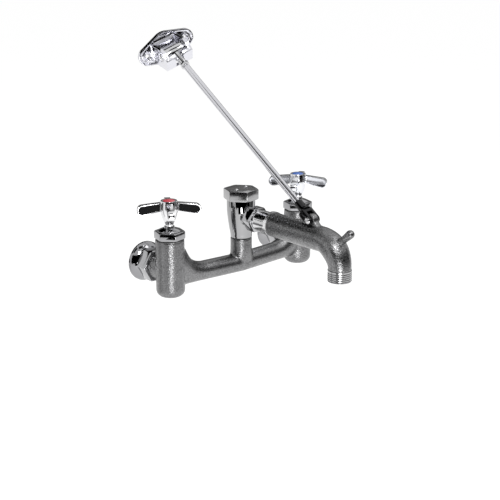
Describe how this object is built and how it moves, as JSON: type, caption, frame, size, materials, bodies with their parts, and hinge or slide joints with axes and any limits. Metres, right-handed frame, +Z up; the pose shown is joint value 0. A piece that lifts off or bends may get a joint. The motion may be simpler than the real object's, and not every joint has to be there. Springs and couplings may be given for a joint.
{
  "type": "service sink faucet",
  "caption": "Wall-mounted service sink faucet with cross handles, a vacuum breaker, a bent spout with hose thread and pail hook, and a hinged wall brace.",
  "frame": {"origin": "midway between the two supply inlets, in the plane of their mouths", "axes": "+Z up, +X from the hot inlet to the cold inlet, +Y towards the wall"},
  "size_m": [0.2675, 0.3482, 0.2891],
  "materials": {
    "cast_chrome": "rough chrome plate over a sand-cast surface, satin and slightly speckled",
    "spout_chrome": "rough chrome plate over a sand-cast surface, satin and slightly speckled, polished on the sleeve by the nut",
    "bonnet_chrome": "polished chrome plate",
    "stem_chrome": "polished chrome plate",
    "hot_handle_chrome": "polished chrome plate, dark in the recessed arm panels",
    "cold_handle_chrome": "polished chrome plate",
    "coupling_chrome": "polished chrome plate, softer on the flats",
    "flange_chrome": "polished chrome plate",
    "breaker_chrome": "polished chrome plate",
    "cap_chrome": "polished chrome plate with a satin top",
    "spout_nut_chrome": "polished chrome plate",
    "fork_chrome": "polished chrome plate",
    "rod_chrome": "polished chrome plate, drawn rod",
    "jam_nut_chrome": "polished chrome plate",
    "rod_eye_chrome": "polished chrome plate",
    "bracket_chrome": "polished chrome plate",
    "brace_pin_steel": "bright steel, fine turning marks",
    "screw_steel": "bright steel",
    "valve_brass": "turned brass",
    "black_rubber": "matte black rubber",
    "packing_fibre": "graphited fibre",
    "float_plastic": "moulded, natural white",
    "red_button": "glossy red enamel",
    "blue_button": "glossy blue enamel"
  },
  "bodies": {
    "faucet": {"faucet_body": "cast_chrome", "hot_seat": "valve_brass", "hot_bonnet": "bonnet_chrome", "hot_bonnet_gasket": "black_rubber", "hot_packing": "packing_fibre", "hot_packing_nut": "bonnet_chrome", "hot_coupling_nut": "coupling_chrome", "hot_coupling_washer": "black_rubber", "hot_supply_arm": "flange_chrome", "cold_seat": "valve_brass", "cold_bonnet": "bonnet_chrome", "cold_bonnet_gasket": "black_rubber", "cold_packing": "packing_fibre", "cold_packing_nut": "bonnet_chrome", "cold_coupling_nut": "coupling_chrome", "cold_coupling_washer": "black_rubber", "cold_supply_arm": "flange_chrome", "breaker_body": "breaker_chrome", "breaker_gasket": "black_rubber", "breaker_cap": "cap_chrome", "breaker_cap_screws": "screw_steel", "spout_nut": "spout_nut_chrome", "spout_washer": "black_rubber", "spout": "spout_chrome", "fork_pin": "brace_pin_steel"},
    "hot_rise": {"hot_seat_washer": "black_rubber"},
    "hot_spindle": {"hot_stem": "stem_chrome", "hot_handle": "hot_handle_chrome", "hot_handle_screw": "screw_steel", "hot_index_button": "red_button", "hot_washer_screw": "valve_brass"},
    "cold_rise": {"cold_seat_washer": "black_rubber"},
    "cold_spindle": {"cold_stem": "stem_chrome", "cold_handle": "cold_handle_chrome", "cold_handle_screw": "screw_steel", "cold_index_button": "blue_button", "cold_washer_screw": "valve_brass"},
    "float": {"breaker_float": "float_plastic", "breaker_float_washer": "black_rubber"},
    "brace_arm": {"brace_fork": "fork_chrome", "brace_rod": "rod_chrome", "jam_nut": "jam_nut_chrome"},
    "eye": {"rod_eye": "rod_eye_chrome"},
    "bracket": {"wall_bracket": "bracket_chrome", "bracket_pin": "brace_pin_steel"}
  },
  "joints": [
    {"name": "hot_lift", "type": "slide", "parent": "faucet", "child": "hot_rise", "axis": [0, 0, 1], "range_m": [0, 0.004]},
    {"name": "hot_turn", "type": "hinge", "parent": "hot_rise", "child": "hot_spindle", "pos_m": [-0.1016, -0.05, 0], "axis": [0, 0, 1], "range_deg": [-360, 0]},
    {"name": "cold_lift", "type": "slide", "parent": "faucet", "child": "cold_rise", "axis": [0, 0, 1], "range_m": [0, 0.004]},
    {"name": "cold_turn", "type": "hinge", "parent": "cold_rise", "child": "cold_spindle", "pos_m": [0.1016, -0.05, 0], "axis": [0, 0, 1], "range_deg": [0, 360]},
    {"name": "float_rise", "type": "slide", "parent": "faucet", "child": "float", "axis": [0, 0, 1], "range_m": [0, 0.0045]},
    {"name": "brace_swing", "type": "hinge", "parent": "faucet", "child": "brace_arm", "pos_m": [0, -0.1801, 0.0692], "axis": [1, 0, 0], "range_deg": [-16, 40]},
    {"name": "bracket_spin", "type": "hinge", "parent": "brace_arm", "child": "eye", "pos_m": [0, 0.06785, 0.23269], "axis": [0, 0.8348, 0.5505], "range_deg": [-332, 388]},
    {"name": "bracket_tilt", "type": "hinge", "parent": "eye", "child": "bracket", "pos_m": [0, 0.06785, 0.23269], "axis": [0.8829, -0.2584, 0.3919], "range_deg": [-25, 10]}
  ],
  "couplings": [
    {"joint": "hot_lift", "follows": "hot_turn", "m_per_rad": -0.00063662},
    {"joint": "cold_lift", "follows": "cold_turn", "m_per_rad": 0.00063662}
  ]
}
